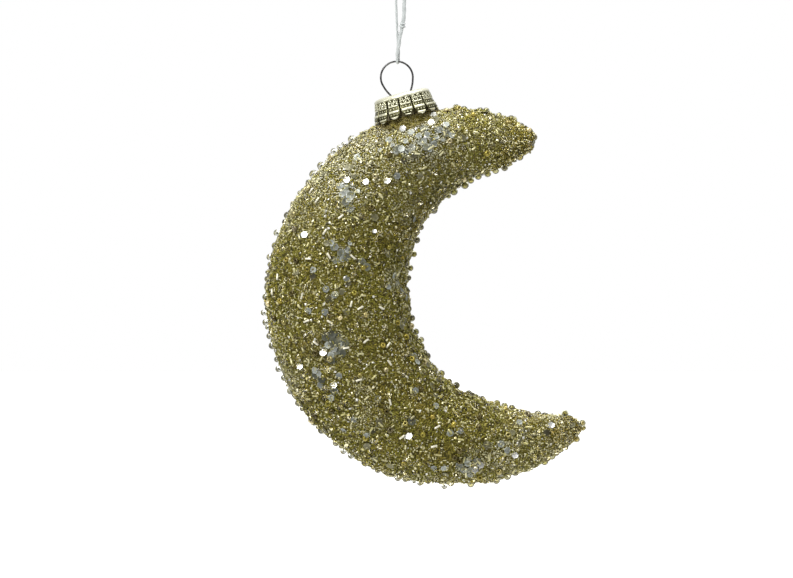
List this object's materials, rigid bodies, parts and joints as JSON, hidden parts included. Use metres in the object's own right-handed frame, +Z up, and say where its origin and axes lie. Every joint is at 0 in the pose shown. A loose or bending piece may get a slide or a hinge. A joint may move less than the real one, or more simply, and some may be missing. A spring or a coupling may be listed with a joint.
{
  "type": "glass moon ornament",
  "caption": "Hanging crescent moon ornament in blown glass, crusted with gold glitter, beads and sequins, with a gold crown cap, a wire hanger and a knotted string loop.",
  "frame": {"origin": "inside the top of the string loop's arch, where a hook holds the ornament", "axes": "+Z up along the hanging ornament, +X towards the horn tips (to the right from the front), +Y to the back; the front faces -Y"},
  "size_m": [0.101, 0.0382, 0.1635],
  "materials": {
    "glass_body": "thin blown glass, silvered inside",
    "bead_crust": "olive gold glitter and glue with beads, sparkling",
    "cap_gold": "bright pressed sheet, champagne gold",
    "hanger_wire": "dark drawn spring wire",
    "string_white": "soft off-white thread",
    "sequin_silver": "silver foil, mirror bright",
    "bead_clear": "clear champagne glass"
  },
  "bodies": {
    "held_string": {"string_arch": "string_white"},
    "hanging_string": {"string_left_strand": "string_white", "string_right_strand_upper": "string_white", "string_right_strand_lower": "string_white", "string_knot": "string_white"},
    "string_bend": {"string_bight": "string_white"},
    "hanger_and_cap": {"wire_hanger": "hanger_wire", "crown_cap": "cap_gold"},
    "moon": {"glass_moon": "glass_body", "bead_coat": "bead_crust", "sequin_front_01": "sequin_silver", "sequin_front_02": "sequin_silver", "sequin_front_03": "sequin_silver", "sequin_front_04": "sequin_silver", "sequin_front_05": "sequin_silver", "sequin_front_06": "sequin_silver", "sequin_front_07": "sequin_silver", "sequin_front_08": "sequin_silver", "sequin_front_09": "sequin_silver", "sequin_front_10": "sequin_silver", "sequin_front_11": "sequin_silver", "sequin_front_12": "sequin_silver", "sequin_front_13": "sequin_silver", "sequin_front_14": "sequin_silver", "sequin_front_15": "sequin_silver", "sequin_front_16": "sequin_silver", "sequin_front_17": "sequin_silver", "sequin_front_18": "sequin_silver", "sequin_front_19": "sequin_silver", "sequin_back_01": "sequin_silver", "sequin_back_02": "sequin_silver", "sequin_back_03": "sequin_silver", "sequin_back_04": "sequin_silver", "sequin_back_05": "sequin_silver", "sequin_back_06": "sequin_silver", "sequin_back_07": "sequin_silver", "sequin_back_08": "sequin_silver", "edge_bead_01": "bead_clear", "edge_bead_02": "bead_clear", "edge_bead_03": "bead_clear", "edge_bead_04": "bead_clear", "edge_bead_05": "bead_clear"}
  },
  "joints": [
    {"name": "turn_on_string", "type": "hinge", "parent": "held_string", "child": "hanging_string", "pos_m": [-0.00095, 0, -0.0103], "axis": [0, 0, 1], "range_deg": [-180, 180]},
    {"name": "sway_sideways", "type": "hinge", "parent": "hanging_string", "child": "string_bend", "pos_m": [-0.00095, 0, -0.0287], "axis": [0, 1, 0], "range_deg": [-40, 40]},
    {"name": "tilt_fore_aft", "type": "hinge", "parent": "string_bend", "child": "hanger_and_cap", "pos_m": [-0.00095, 0, -0.03099], "axis": [1, 0, 0], "range_deg": [-60, 60]},
    {"name": "moon_pull_off", "type": "slide", "parent": "hanger_and_cap", "child": "moon", "axis": [0.2453, 0, -0.9694], "range_m": [0, 0.025]}
  ]
}
